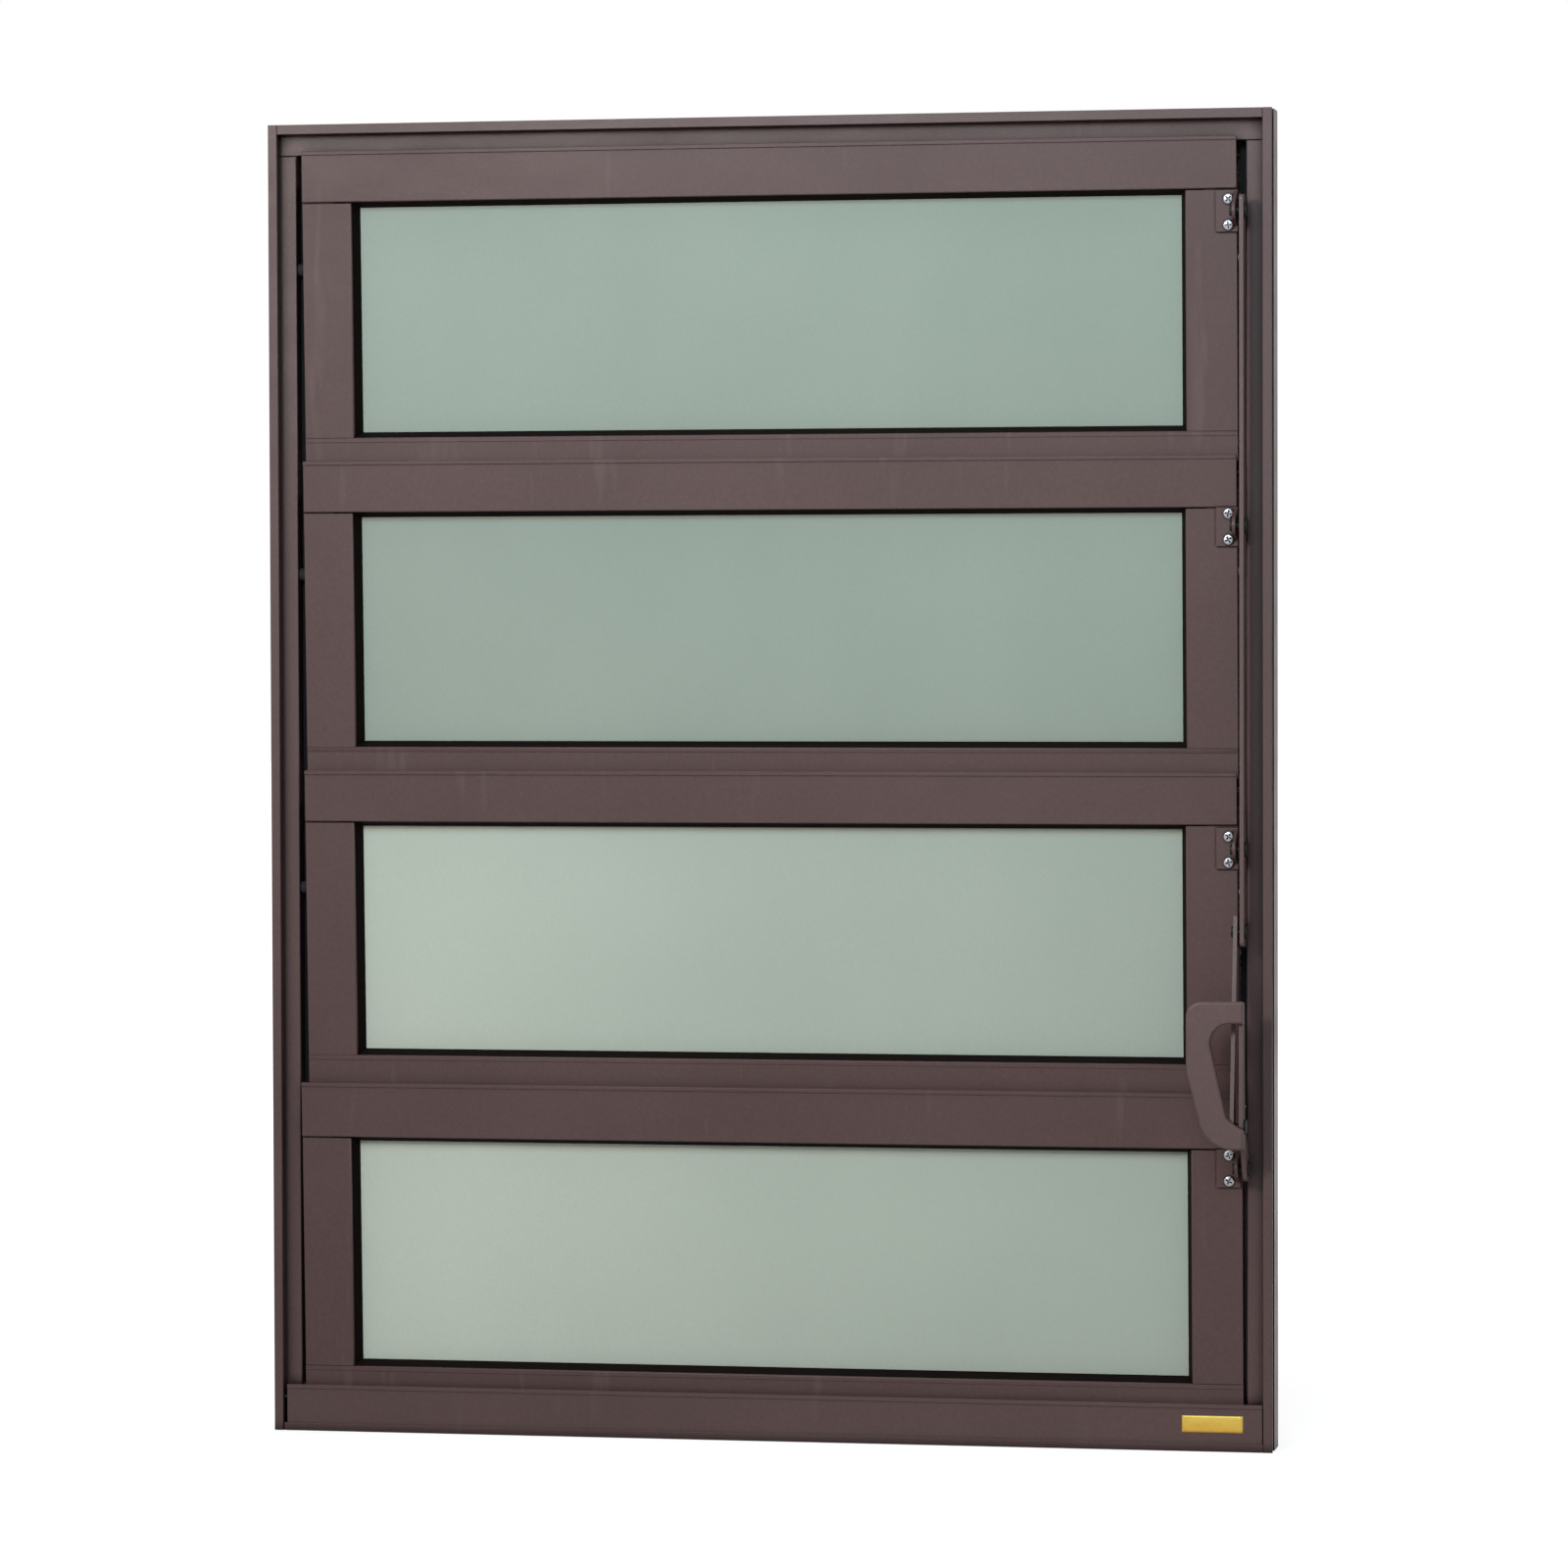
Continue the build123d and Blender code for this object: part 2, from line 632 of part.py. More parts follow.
def build():
    """Every piece of the window, by name."""
    jamb = right_jamb()
    pieces = {
        "head": head(),
        "sill": sill(),
        "right_jamb": jamb,
        "left_jamb": mirrored(jamb),
        "pivot_bushes": pivot_bushes(),
    }
    for index in range(VENT_COUNT):
        name = f"vent_{index + 1}"
        vent = Leaf(VENT_TOP - index * PITCH, VENT_HALF, pivot_z(index), TOP_RAIL_FACE)
        pieces |= leaf_pieces(name, vent, VENT_PIN_Z[index], EAR_X, drilled_stile)
        pieces[f"{name}_pivot_pins"] = pivot_pins(vent)
    fixed = Leaf(FIXED_TOP, FIXED_HALF, FIXED_TOP - PIVOT_BELOW_TOP, FIXED_RAIL_FACE)
    pieces |= leaf_pieces("fixed", fixed, FULCRUM_Z, FIXED_EAR_X, ribbed_stile)
    pieces |= linkage()
    return pieces


os.makedirs("parts", exist_ok=True)
to_origin = Pos(0, -DEPTH / 2, 0)
for node, shape in build().items():
    pieces = shape if isinstance(shape, list) else [shape]
    solids = [solid for piece in pieces for solid in (to_origin * piece).solids()]
    export_step(Compound(children=solids), f"parts/{node}.step")
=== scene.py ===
"""Looks and small pieces of the horizontal pivot window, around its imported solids."""

import json
import math
import random

import bmesh
import bpy
from mathutils import Matrix, Vector


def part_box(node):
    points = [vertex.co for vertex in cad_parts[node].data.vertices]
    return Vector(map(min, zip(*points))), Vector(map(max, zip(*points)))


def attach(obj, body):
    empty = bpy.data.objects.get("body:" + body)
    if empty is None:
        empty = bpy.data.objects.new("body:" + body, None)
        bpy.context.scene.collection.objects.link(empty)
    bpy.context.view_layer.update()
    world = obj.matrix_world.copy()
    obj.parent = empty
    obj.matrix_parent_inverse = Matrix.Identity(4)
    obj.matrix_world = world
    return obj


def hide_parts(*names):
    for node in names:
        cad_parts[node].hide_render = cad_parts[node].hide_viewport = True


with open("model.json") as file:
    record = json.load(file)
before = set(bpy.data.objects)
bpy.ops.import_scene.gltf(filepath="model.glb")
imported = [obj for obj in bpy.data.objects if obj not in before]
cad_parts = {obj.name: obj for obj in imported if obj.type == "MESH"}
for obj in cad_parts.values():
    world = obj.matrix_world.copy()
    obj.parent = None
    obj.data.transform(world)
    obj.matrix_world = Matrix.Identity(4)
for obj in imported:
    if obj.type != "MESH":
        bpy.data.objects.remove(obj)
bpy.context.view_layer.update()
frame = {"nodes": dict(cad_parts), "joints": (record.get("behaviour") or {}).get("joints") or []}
nodes = frame["nodes"]
MM = 0.001

LEAVES = ("fixed", "vent_1", "vent_2", "vent_3")
BODY = {"fixed": "frame", "vent_1": "vent_1", "vent_2": "vent_2", "vent_3": "vent_3"}


# Camera, fitted to the frame's edges in the photograph


def make_camera():
    """A camera on an orbit about the middle of the frame's front plane, lengths in m."""
    azimuth, yaw, pitch, roll = (math.radians(a) for a in (11.11, 10.92, -1.70, -0.17))
    distance, height, front_y = 3.6, 0.495, -0.024
    focal_px, photo_px, sensor_mm = 6246.0, 1600.0, 36.0
    data = bpy.data.cameras.new("camera")
    data.sensor_width = sensor_mm
    data.lens = focal_px / photo_px * sensor_mm
    data.clip_start, data.clip_end = 0.05, 100.0
    camera = bpy.data.objects.new("camera", data)
    bpy.context.scene.collection.objects.link(camera)
    place = Matrix.Translation(
        (distance * math.sin(azimuth), front_y - distance * math.cos(azimuth), height)
    )
    turn = (
        Matrix.Rotation(yaw, 4, "Z")
        @ Matrix.Rotation(math.pi / 2 + pitch, 4, "X")
        @ Matrix.Rotation(roll, 4, "Z")
    )
    camera.matrix_world = place @ turn
    bpy.context.scene.camera = camera


make_camera()
bpy.context.scene.view_settings.view_transform = "Standard"


# Materials


class Tree:
    """A short way to build a node tree."""

    def __init__(self, name, kind="material"):
        if kind == "world":
            self.owner = bpy.data.worlds.new(name)
        else:
            self.owner = bpy.data.materials.new(name)
        self.owner.use_nodes = True
        self.nodes = self.owner.node_tree.nodes
        self.links = self.owner.node_tree.links
        self.nodes.clear()

    def add(self, kind, inputs=None, **settings):
        """A node with its settings; an input is either a value or another node's socket."""
        node = self.nodes.new(kind)
        for key, value in settings.items():
            setattr(node, key, value)
        for key, value in (inputs or {}).items():
            if isinstance(value, bpy.types.NodeSocket):
                self.links.new(value, node.inputs[key])
            else:
                node.inputs[key].default_value = value
        return node

    def place(self):
        """Object coordinates, in m."""
        return self.add("ShaderNodeTexCoord").outputs["Object"]

    def noise(self, scale, detail, rough=0.5, stretch=(1, 1, 1), distortion=0.0):
        """Noise over the object's coordinates; a stretch under 1 draws it out on that axis."""
        place = self.place()
        scaled = self.add("ShaderNodeVectorMath", {0: place, 1: stretch}, operation="MULTIPLY")
        noise = self.add(
            "ShaderNodeTexNoise",
            {
                "Vector": scaled.outputs[0],
                "Scale": scale,
                "Detail": detail,
                "Roughness": rough,
                "Distortion": distortion,
            },
        )
        return noise.outputs["Fac"]

    def remap(self, value, low, high, to_low, to_high):
        """A value's range moved to another one, clamped at both ends."""
        node = self.add(
            "ShaderNodeMapRange",
            {0: value, 1: low, 2: high, 3: to_low, 4: to_high},
            clamp=True,
        )
        return node.outputs[0]

    def spread(self, noise, to_low, to_high):
        """A noise's usual range, 0.3 to 0.7, moved to another one."""
        return self.remap(noise, 0.3, 0.7, to_low, to_high)

    def mix(self, factor, first, second):
        """A colour between two; inputs 6 and 7 are the node's colours."""
        node = self.add(
            "ShaderNodeMix",
            {0: factor, 6: first, 7: second},
            data_type="RGBA",
        )
        return node.outputs[2]

    def math(self, operation, first, second):
        return self.add("ShaderNodeMath", {0: first, 1: second}, operation=operation).outputs[0]

    def scale(self, tone, factor):
        """A colour made darker or lighter by a factor."""
        node = self.add("ShaderNodeVectorMath", {0: tone, "Scale": factor}, operation="SCALE")
        return node.outputs[0]

    def openness(self, reach, **settings):
        """1 on open faces, less in corners that have other faces within reach."""
        node = self.add("ShaderNodeAmbientOcclusion", {"Distance": reach}, samples=8, **settings)
        return node.outputs["AO"]

    def bump(self, height, strength, distance, normal=None):
        inputs = {"Height": height, "Strength": strength, "Distance": distance}
        if normal is not None:
            inputs["Normal"] = normal
        return self.add("ShaderNodeBump", inputs).outputs[0]

    def principled(self, inputs):
        """The material, with one principled shader."""
        return self.surface(self.add("ShaderNodeBsdfPrincipled", inputs))

    def surface(self, shader):
        self.add("ShaderNodeOutputMaterial", {"Surface": shader.outputs[0]})
        return self.owner


def colour(red, green, blue):
    """A linear colour from one written as it shows on the screen (sRGB), 0 to 255."""
    linear = []
    for value in (red, green, blue):
        v = value / 255
        linear.append(v / 12.92 if v <= 0.04045 else ((v + 0.055) / 1.055) ** 2.4)
    return (*linear, 1.0)


def powder_coat(name, dark, light, roughness, marks=0.0, gloss=0.3, reach=2.2 * MM):
    """Satin powder coat: faint mottling, pinhead texture, dust specks, drips, painted shade in
    corners.

    Marks strengthen the drips, gloss is the specular level on open faces, and reach is how
    far from a corner painted shade makes the coat darker and duller.
    """
    tree = Tree(name)
    broad = tree.noise(7.0, 4.0, 0.55)
    fine = tree.noise(420.0, 2.0, 0.6)
    tone = tree.mix(tree.spread(broad, 0.0, 1.0), dark, light)
    tone = tree.scale(tone, tree.spread(fine, 0.93, 1.07))
    specks = tree.remap(tree.noise(1500.0, 1.0, 0.4), 0.735, 0.76, 0.0, 0.16)
    tone = tree.mix(specks, tone, colour(176, 168, 165))
    drips = tree.noise(46.0, 3.0, 0.6, (1.0, 1.0, 0.12))
    drips = tree.remap(drips, 0.62, 0.74, 0.0, 0.06 + marks)
    tone = tree.mix(drips, tone, colour(150, 138, 134))
    # Painted shade: corners and recesses are darkened towards a near black and their sheen
    # dulled.
    unshaded_share = tree.remap(tree.openness(reach), 0.4, 0.9, 0.15, 1.0)
    tone = tree.mix(unshaded_share, colour(24, 19, 20), tone)
    rubbed = tree.noise(30.0, 5.0, 0.65, (0.4, 1.0, 1.0), 0.4)
    rough = tree.spread(rubbed, roughness - 0.05, roughness + 0.08)
    peel = tree.bump(tree.noise(900.0, 2.0, 0.5), 0.18, 0.0002)
    peel = tree.bump(tree.noise(90.0, 2.0, 0.5), 0.05, 0.001, peel)
    return tree.principled(
        {
            "Base Color": tone,
            "Roughness": rough,
            "Normal": peel,
            "Specular IOR Level": tree.math("MULTIPLY", unshaded_share, gloss),
        }
    )


def metal(name, tone, roughness):
    """Plated or plain steel: fine turning marks, slight stains, painted shade in its recesses.
    """
    tree = Tree(name)
    stain = tree.remap(tree.noise(120.0, 4.0, 0.6), 0.35, 0.7, 0.0, 0.35)
    stained = (tone[0] * 0.6, tone[1] * 0.58, tone[2] * 0.55, 1.0)
    shade = tree.mix(stain, tone, stained)
    lines = tree.noise(260.0, 2.0, 0.5, (1, 1, 8))
    rough = tree.spread(lines, roughness - 0.07, roughness + 0.1)
    # Painted shade: the cross recess and the seat of the rim are darkened towards a blue-grey.
    hollow_unshaded = tree.openness(0.8 * MM, only_local=True)
    shade = tree.mix(tree.remap(hollow_unshaded, 0.25, 0.7, 0.0, 1.0), colour(34, 37, 44), shade)
    return tree.principled(
        {
            "Base Color": shade,
            "Metallic": 1.0,
            "Roughness": rough,
            "Normal": tree.bump(lines, 0.15, 0.0002),
        }
    )


def black_rivet():
    """Blackened steel, rubbed a little paler in places."""
    tree = Tree("black_rivet")
    wear = tree.remap(tree.noise(600.0, 3.0, 0.6), 0.55, 0.75, 0.0, 0.5)
    return tree.principled(
        {
            "Base Color": tree.mix(wear, colour(15, 13, 13), colour(44, 39, 38)),
            "Roughness": tree.remap(wear, 0.0, 0.5, 0.5, 0.65),
            "Specular IOR Level": 0.2,
            "Normal": tree.bump(tree.noise(1200.0, 2.0), 0.1, 0.0002),
        }
    )


def rubber():
    """Black gasket with a little dust."""
    tree = Tree("gasket_rubber")
    dust = tree.remap(tree.noise(55.0, 5.0, 0.65), 0.4, 0.75, 0.0, 0.35)
    return tree.principled(
        {
            "Base Color": tree.mix(dust, colour(16, 11, 9), colour(31, 24, 21)),
            "Roughness": tree.remap(dust, 0.0, 0.35, 0.7, 0.9),
            "Specular IOR Level": 0.04,
            "Normal": tree.bump(tree.noise(700.0, 2.0), 0.2, 0.0002),
        }
    )


def frosted_glass():
    """Obscured glass: pale green-grey, matt, with a faint rolled texture.

    Painted light: the two lower panes are paler than the upper ones, the lowest a little more
    so, and all panes are paler at the left than at the right.
    """
    tree = Tree("frosted_glass")
    half_width = 0.25
    cloud = tree.spread(tree.noise(5.0, 3.0, 0.5), -0.05, 0.05)
    across, _, height = tree.add("ShaderNodeSeparateXYZ", {0: tree.place()}).outputs
    # Painted light: paler lower panes and a paler left side, put into the glass's colour.
    pale = tree.remap(height, 0.41, 0.37, 0.21, 0.6)
    pale = tree.math("ADD", pale, tree.remap(height, 0.21, 0.17, 0.0, 0.12))
    pale = tree.math("MULTIPLY", pale, tree.remap(across, -half_width, 0.0, 1.55, 1.0))
    pale = tree.math("MULTIPLY", pale, tree.remap(across, 0.0, half_width, 1.0, 0.72))
    tone = tree.mix(tree.math("ADD", pale, cloud), colour(138, 151, 140), colour(205, 212, 199))
    grain = tree.spread(tree.noise(650.0, 2.0, 0.6), 0.97, 1.03)
    tone = tree.scale(tone, grain)
    smear = tree.noise(24.0, 4.0, 0.6, (1, 1, 0.3))
    return tree.principled(
        {
            "Base Color": tone,
            "Roughness": tree.spread(smear, 0.62, 0.7),
            "IOR": 1.5,
            "Specular IOR Level": 0.3,
            "Transmission Weight": 0.18,
            "Normal": tree.bump(tree.noise(160.0, 3.0, 0.6), 0.04, 0.0006),
        }
    )


def pile():
    """Black brush pile."""
    tree = Tree("pile")
    tone = tree.mix(tree.noise(900.0, 2.0), colour(12, 11, 11), colour(27, 25, 24))
    return tree.principled({"Base Color": tone, "Roughness": 0.9})


def gold_foil():
    """Blank foil: warm yellow, slightly creased, deeper towards its lower edge."""
    tree = Tree("gold_foil")
    height = tree.add("ShaderNodeSeparateXYZ", {0: tree.place()}).outputs[2]
    fade = tree.remap(height, 0.0112, 0.0217, 1.0, 0.0)
    crease = tree.noise(180.0, 4.0, 0.6, (0.5, 1, 1), 0.5)
    fade = tree.math("ADD", fade, tree.spread(crease, -0.25, 0.25))
    fade = tree.remap(fade, 0.0, 1.0, 0.0, 1.0)
    return tree.principled(
        {
            "Base Color": tree.mix(fade, colour(222, 192, 84), colour(208, 156, 50)),
            "Metallic": 0.25,
            "Roughness": tree.spread(crease, 0.38, 0.5),
            "Normal": tree.bump(crease, 0.25, 0.0005),
        }
    )


COAT = (colour(74, 53, 52), colour(81, 60, 59))
# The frame's 9 mm reach paints shade over its recessed faces beside and under the lips.
FRAME_COAT = powder_coat("frame_coat", *COAT, roughness=0.43, gloss=0.34, reach=9.0 * MM)
LEAF_COAT = powder_coat("leaf_coat", *COAT, roughness=0.42, marks=0.05)
LEVER_COAT = powder_coat("lever_coat", colour(86, 67, 65), colour(94, 75, 73), roughness=0.36)
RUBBER = rubber()
GLASS = frosted_glass()
ZINC = metal("zinc", colour(158, 160, 165), roughness=0.28)
PIN_STEEL = metal("pin_steel", colour(150, 149, 147), roughness=0.4)
RIVET_BLACK = black_rivet()
PILE = pile()
FOIL = gold_foil()

WELD_REACH = 1e-6
FLAT_ANGLE = math.radians(0.5)
SHARP_ANGLE = math.radians(35)


def dress(names, material):
    """Give nodes of the solids a material."""
    for name in names:
        mesh = nodes[name].data
        mesh.materials.clear()
        mesh.materials.append(material)


def soften(names, width):
    """Rounded edges on the solids' sharp corners, added as modifiers."""
    for name in names:
        piece = nodes[name]
        weld = piece.modifiers.new("weld", "WELD")
        weld.merge_threshold = WELD_REACH
        flat = piece.modifiers.new("flat", "DECIMATE")
        flat.decimate_type = "DISSOLVE"
        flat.angle_limit = FLAT_ANGLE
        round_over = piece.modifiers.new("round_over", "BEVEL")
        round_over.width = width
        round_over.segments = 2
        round_over.limit_method = "ANGLE"
        round_over.angle_limit = SHARP_ANGLE
        round_over.harden_normals = True


leaf_parts = ("top_rail", "bottom_rail", "left_stile", "right_stile", "bracket")
painted_leaf = [f"{leaf}_{part}" for leaf in LEAVES for part in leaf_parts]
painted_frame = ["left_jamb", "right_jamb", "head", "sill"]
painted_lever = ["connecting_bar", "link_bar", "lever_arm", "lever_handle"]
dress(painted_frame, FRAME_COAT)
dress(painted_leaf, LEAF_COAT)
dress(painted_lever, LEVER_COAT)
dress([f"{leaf}_glass" for leaf in LEAVES], GLASS)
dress([f"{leaf}_gasket" for leaf in LEAVES], RUBBER)
dress([f"{leaf}_pivot_pins" for leaf in LEAVES[1:]], PIN_STEEL)
dress(["bar_rivets", "lever_rivets"], RIVET_BLACK)
dress(["pivot_bushes"], PILE)
soften(painted_frame + painted_leaf, 0.35 * MM)
soften(painted_lever, 0.4 * MM)


# Small pieces


def add_mesh(name, mesh, material, body):
    """A new piece of one material, on a body."""
    piece = bpy.data.objects.new(name, mesh)
    bpy.context.scene.collection.objects.link(piece)
    mesh.materials.clear()
    mesh.materials.append(material)
    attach(piece, body)
    return piece


def from_bmesh(shape, name, smooth=True):
    """A mesh from a finished shape, smooth but for its sharp edges."""
    mesh = bpy.data.meshes.new(name)
    bmesh.ops.recalc_face_normals(shape, faces=shape.faces)
    shape.to_mesh(mesh)
    shape.free()
    if smooth:
        mesh.shade_smooth()
        mesh.set_sharp_from_angle(angle=SHARP_ANGLE)
    return mesh


def lathe(shape, profile, segments, place):
    """Turn a profile of (radius, height) about local Z at a place; gives the last ring."""
    rings = []
    for radius, height in profile:
        if radius == 0.0:
            rings.append([shape.verts.new(place @ Vector((0, 0, height)))])
            continue
        ring = []
        for i in range(segments):
            a = 2 * math.pi * i / segments
            point = Vector((radius * math.cos(a), radius * math.sin(a), height))
            ring.append(shape.verts.new(place @ point))
        rings.append(ring)
    for low, high in zip(rings, rings[1:]):
        for i in range(segments):
            j = (i + 1) % segments
            if len(low) == 1:
                shape.faces.new((low[0], high[i], high[j]))
            elif len(high) == 1:
                shape.faces.new((low[i], low[j], high[0]))
            else:
                shape.faces.new((low[i], low[j], high[j], high[i]))
    return rings[-1]


def facing(direction, at):
    """A placement whose local Z points along a direction."""
    turn = Vector(direction).to_track_quat("Z", "Y").to_matrix().to_4x4()
    return Matrix.Translation(at) @ turn


LEAN = math.radians(2.0)
PLATE = 2.0 * MM
LINK_TOP_Z = 0.3036
JOINTS = {joint["name"]: Vector(joint["pos_m"]) for joint in frame["joints"]}


def span_x(node):
    """Left and right face of a flat piece that stands across X."""
    low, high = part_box(node)
    return low.x, high.x


def ear(leaf):
    """Left and right face of a bracket's ear."""
    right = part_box(f"{leaf}_bracket")[1].x
    return right - PLATE, right


BAR = span_x("connecting_bar")
LINK = span_x("link_bar")
LEVER = span_x("lever_arm")
CRANK = JOINTS["bar_pivot"] - JOINTS["vent_1_pivot"]
VENT_PINS = {leaf: JOINTS[f"{leaf}_pivot"] + CRANK for leaf in LEAVES[1:]}
FULCRUM = JOINTS["lever_pivot"]
LEVER_PIN = JOINTS["link_pivot"]
LINK_TOP_PIN = Vector((0, FULCRUM.y, LINK_TOP_Z))


def rivet_profile(near, far):
    """Profile along X of a rivet through two flat pieces, with a thin flat head at each end."""
    shank, small, large = 2.0 * MM, 3.3 * MM, 4.3 * MM
    thick, gap, edge = 1.5 * MM, 0.2 * MM, 0.35 * MM
    bulge = 0.3 * edge
    left_end = near[0] - gap
    right_end = far[1]
    left = [
        (0.0, left_end - thick),
        (small - edge, left_end - thick),
        (small - bulge, left_end - thick + bulge),
        (small, left_end - thick + edge),
        (small, left_end),
        (shank, left_end),
    ]
    right = [
        (shank, right_end),
        (large, right_end),
        (large, right_end + thick - edge),
        (large - bulge, right_end + thick - bulge),
        (large - edge, right_end + thick),
        (0.0, right_end + thick),
    ]
    return left + right


def rivets(name, places, body, replaced):
    """One piece with turned rivets at (pin, near piece, far piece), for a node of the solids."""
    segments = 40
    shape = bmesh.new()
    for pin, near, far in places:
        place = facing((1, 0, 0), (0, pin.y, pin.z))
        lathe(shape, rivet_profile(near, far), segments, place)
    piece = add_mesh(name, from_bmesh(shape, name), RIVET_BLACK, body)
    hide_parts(replaced)


rivets(
    "turned_bar_rivets",
    [(pin, ear(leaf), BAR) for leaf, pin in VENT_PINS.items()] + [(LINK_TOP_PIN, LINK, BAR)],
    "connecting_bar",
    "bar_rivets",
)
rivets(
    "turned_lever_rivets",
    [(FULCRUM, ear("fixed"), LEVER), (LEVER_PIN, LINK, LEVER)],
    "lever",
    "lever_rivets",
)


# Radius and height of the rounded head, as shares of its own
HEAD_PROFILE = (
    (0.0, 0.0),
    (1.0, 0.0),
    (1.0, 0.3),
    (0.97, 0.52),
    (0.89, 0.75),
    (0.78, 0.92),
    (0.68, 1.0),
)
# Reach, half width and height of the cross recess at its mouth, its wall and its floor
RECESS_LEVELS = ((0.63, 0.13, 1.0), (0.57, 0.1, 0.75), (0.24, 0.06, 0.08))


def cross_outline(reach, half):
    """Corners of a cross whose arms reach out and have a half width."""
    corners = []
    for quarter in range(4):
        turn = Matrix.Rotation(quarter * math.pi / 2, 3, "Z")
        for x, y in ((reach, -half), (reach, half), (half, half)):
            corners.append(turn @ Vector((x, y, 0)))
    return corners


def pan_head(radius, height):
    """A pan-head screw with a tapering cross recess, its seat at Z = 0."""
    segments = 48
    shape = bmesh.new()
    profile = [(r * radius, h * height) for r, h in HEAD_PROFILE]
    rim = lathe(shape, profile, segments, Matrix.Identity(4))
    rings = []
    for reach, half, level in RECESS_LEVELS:
        corners = cross_outline(reach * radius, half * radius)
        rings.append([shape.verts.new(p + Vector((0, 0, level * height))) for p in corners])
    for high, low in zip(rings, rings[1:]):
        for i in range(len(high)):
            j = (i + 1) % len(high)
            shape.faces.new((high[i], low[i], low[j], high[j]))
    shape.faces.new(rings[-1])
    edges = []
    for ring in (rim, rings[0]):
        for a, b in zip(ring, ring[1:] + ring[:1]):
            edges.append(shape.edges.get((a, b)) or shape.edges.new((a, b)))
    bmesh.ops.triangle_fill(shape, edges=edges, use_beauty=True, normal=(0, 0, 1))
    return from_bmesh(shape, "pan_head")


SCREW_HEAD = pan_head(radius=3.3 * MM, height=1.8 * MM)
SCREW_INSET = 7.45 * MM
SCREW_RISES = {"upper": 7.2 * MM, "lower": -7.9 * MM}
SCREW_SPINS = (0.35, 1.1, 0.8, 0.1, 1.35, 0.5, 0.95, 0.25)


def screw(name, at, direction, body, spin):
    """A screw head seated at a point, turned about its own axis by a spin in radians."""
    mesh = SCREW_HEAD.copy()
    place = facing(direction, at) @ Matrix.Rotation(spin, 4, "Z")
    mesh.transform(place)
    return add_mesh(name, mesh, ZINC, body)


def plate_front(leaf, z):
    """Y of the front of a bracket's plate at a height, from its foot and the leaf's lean."""
    low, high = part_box(f"{leaf}_bracket")
    foot = high.y - PLATE * math.cos(LEAN)
    return foot - (z - low.z) * math.tan(LEAN)


def bracket_screws():
    """Two screws in each bracket's plate, above and below its ear's rivet."""
    spins = iter(SCREW_SPINS)
    normal = (0, -math.cos(LEAN), -math.sin(LEAN))
    pins = {"fixed": FULCRUM} | VENT_PINS
    for leaf in LEAVES:
        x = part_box(f"{leaf}_bracket")[0].x + SCREW_INSET
        for word, rise in SCREW_RISES.items():
            z = pins[leaf].z + rise
            at = Vector((x, plate_front(leaf, z), z))
            screw(f"{leaf}_{word}_screw", at, normal, BODY[leaf], next(spins))


bracket_screws()


JAMB_WALL_X = 0.2844
PILE_Y = (-0.0070, -0.0030)
PILE_Z = (0.2005, 0.766)
SLIT_Z = (0.0275, 0.2005)
PILE_REACH = 4.95 * MM
SLIT_REACH = 2.08 * MM
PILE_SEEDS = {-1: 29, 1: 17}
BOX_FACES = (
    (0, 3, 2, 1),
    (4, 5, 6, 7),
    (0, 1, 5, 4),
    (1, 2, 6, 5),
    (2, 3, 7, 6),
    (3, 0, 4, 7),
)


def prism(shape, x_ends, y_ends, z_ends):
    """A box between two ends on each axis."""
    (x0, x1), (y0, y1) = x_ends, y_ends
    corners = ((x0, y0), (x1, y0), (x1, y1), (x0, y1))
    v = [shape.verts.new((x, y, z)) for z in z_ends for x, y in corners]
    for face in BOX_FACES:
        shape.faces.new([v[i] for i in face])


def pile_strip(name, side, z_ends, longest):
    """Brush seal on a jamb's inner wall: a backing with a row of cut tufts."""
    backing, pitch, inset = 0.8 * MM, 1.0 * MM, 0.6 * MM
    shortest, filled, sway = 0.93, 0.96, 0.2
    random.seed(PILE_SEEDS[side])
    shape = bmesh.new()
    wall = JAMB_WALL_X * side
    foot = wall - side * backing
    low, high = z_ends
    y_low, y_high = PILE_Y
    prism(shape, (wall, foot), PILE_Y, z_ends)
    for index in range(int((high - low) / pitch)):
        z = low + index * pitch
        tip = wall - side * longest * random.uniform(shortest, 1.0)
        shift = random.uniform(-sway, sway) * MM
        tuft_y = (y_low + inset + shift, y_high - inset + shift)
        prism(shape, (foot, tip), tuft_y, (z, z + filled * pitch))
    return add_mesh(name, from_bmesh(shape, name, smooth=False), PILE, "frame")


pile_strip("left_pile", -1, PILE_Z, PILE_REACH)
pile_strip("right_pile", 1, PILE_Z, PILE_REACH)
pile_strip("left_slit_pile", -1, SLIT_Z, SLIT_REACH)
pile_strip("right_slit_pile", 1, SLIT_Z, SLIT_REACH)


SILL_FACE_Y = -0.0232


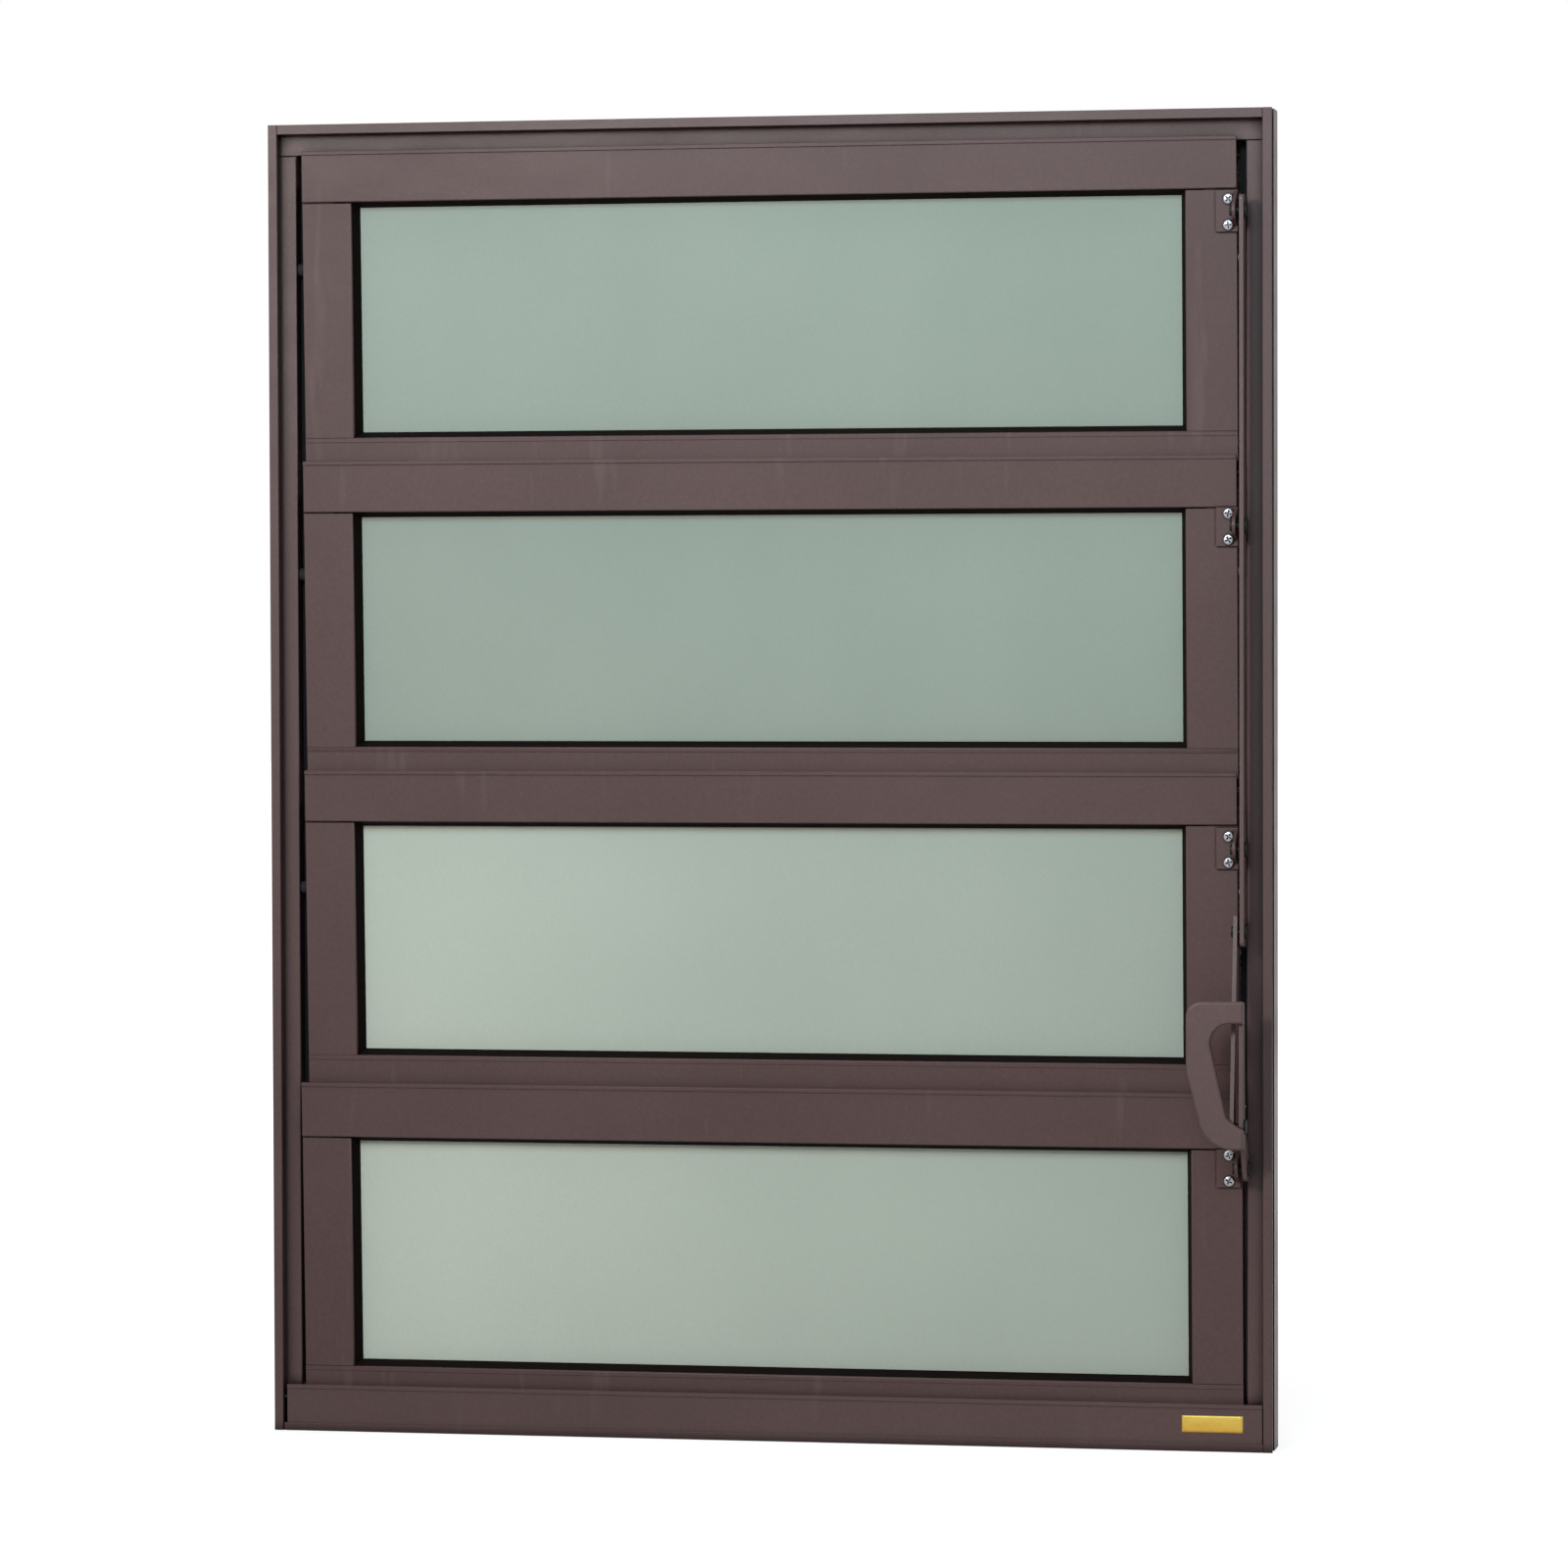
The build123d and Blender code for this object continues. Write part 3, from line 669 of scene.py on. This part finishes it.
def blank_label():
    """A plain foil label on the sill's face, with a slightly lifted corner."""
    x0, x1, z0, z1 = 0.2470, 0.2827, 0.0111, 0.0209
    columns, rows = 24, 8
    gap, lift, lift_from, curl = 0.06 * MM, 0.5 * MM, 1.72, 1.5
    front = SILL_FACE_Y - gap
    shape = bmesh.new()
    grid = []
    for j in range(rows + 1):
        line = []
        for i in range(columns + 1):
            u, v = i / columns, j / rows
            y = front - lift * max(0.0, (1 - u) + v - lift_from) ** curl
            line.append(shape.verts.new((x0 + u * (x1 - x0), y, z0 + v * (z1 - z0))))
        grid.append(line)
    for lower, upper in zip(grid, grid[1:]):
        for i in range(columns):
            shape.faces.new((lower[i], lower[i + 1], upper[i + 1], upper[i]))
    piece = add_mesh("blank_label", from_bmesh(shape, "blank_label"), FOIL, "frame")
    thick = piece.modifiers.new("thick", "SOLIDIFY")
    thick.thickness = 0.05 * MM
    thick.offset = -1.0


blank_label()


# Floor, world and light


def seen_white(tree):
    """1 for the rays that show the background: camera, glossy and transmission."""
    path = tree.add("ShaderNodeLightPath").outputs
    direct = tree.math("MAXIMUM", path["Is Camera Ray"], path["Is Glossy Ray"])
    return tree.math("MAXIMUM", direct, path["Is Transmission Ray"])


def make_stage():
    """A floor that is seen as white away from the window, and a world that is seen white."""
    bpy.ops.mesh.primitive_plane_add(size=30.0, location=(0, 0, 0))
    floor = bpy.context.object
    floor.name = "floor"
    tree = Tree("floor")
    away = tree.add("ShaderNodeVectorMath", {0: tree.place()}, operation="LENGTH")
    strength = tree.remap(away.outputs["Value"], 0.6, 2.0, 0.68, 1.0)
    base = tree.add("ShaderNodeBsdfDiffuse", {"Color": (0.62, 0.62, 0.62, 1.0)})
    glow = tree.add("ShaderNodeEmission", {"Color": (1, 1, 1, 1), "Strength": strength})
    both = tree.add("ShaderNodeAddShader", {0: base.outputs[0], 1: glow.outputs[0]})
    mixed = tree.add(
        "ShaderNodeMixShader", {0: seen_white(tree), 1: base.outputs[0], 2: both.outputs[0]}
    )
    floor.data.materials.append(tree.surface(mixed))

    world = Tree("studio", "world")
    light = world.add("ShaderNodeBackground", {"Color": (1.0, 0.97, 0.96, 1), "Strength": 0.26})
    white = world.add("ShaderNodeBackground", {"Color": (1, 1, 1, 1), "Strength": 1.0})
    sky = world.add(
        "ShaderNodeMixShader", {0: seen_white(world), 1: light.outputs[0], 2: white.outputs[0]}
    )
    world.add("ShaderNodeOutputWorld", {"Surface": sky.outputs[0]})
    bpy.context.scene.world = world.owner


def area_light(name, at, target, size, power, tint=(1, 1, 1), spread=180.0):
    """A rectangular light of some watts that looks at a target, its spread in degrees."""
    data = bpy.data.lights.new(name, "AREA")
    data.shape = "RECTANGLE"
    data.size, data.size_y = size
    data.energy = power
    data.spread = math.radians(spread)
    data.color = tint
    lamp = bpy.data.objects.new(name, data)
    bpy.context.scene.collection.objects.link(lamp)
    lamp.location = at
    lamp.rotation_euler = (Vector(target) - Vector(at)).to_track_quat("-Z", "Y").to_euler()


make_stage()
area_light(
    "key",
    at=(-0.8, -2.3, 1.25),
    target=(0.26, 0, 0.5),
    size=(0.5, 0.4),
    power=6.1,
    tint=(1.0, 0.93, 0.88),
    spread=78.0,
)
area_light(
    "top",
    at=(0.12, -2.1, 1.65),
    target=(0.1, 0, 0.89),
    size=(1.1, 0.5),
    power=4.7,
    tint=(0.62, 0.88, 1.0),
    spread=66.0,
)
area_light(
    "overhead",
    at=(0, -0.7, 2.4),
    target=(0, 0, 0.6),
    size=(1.6, 0.4),
    power=3.0,
    tint=(0.92, 0.96, 1.0),
)
area_light(
    "back",
    at=(0.6, 2.2, 1.9),
    target=(0, 0, 0.4),
    size=(1.6, 1.0),
    power=26.0,
)
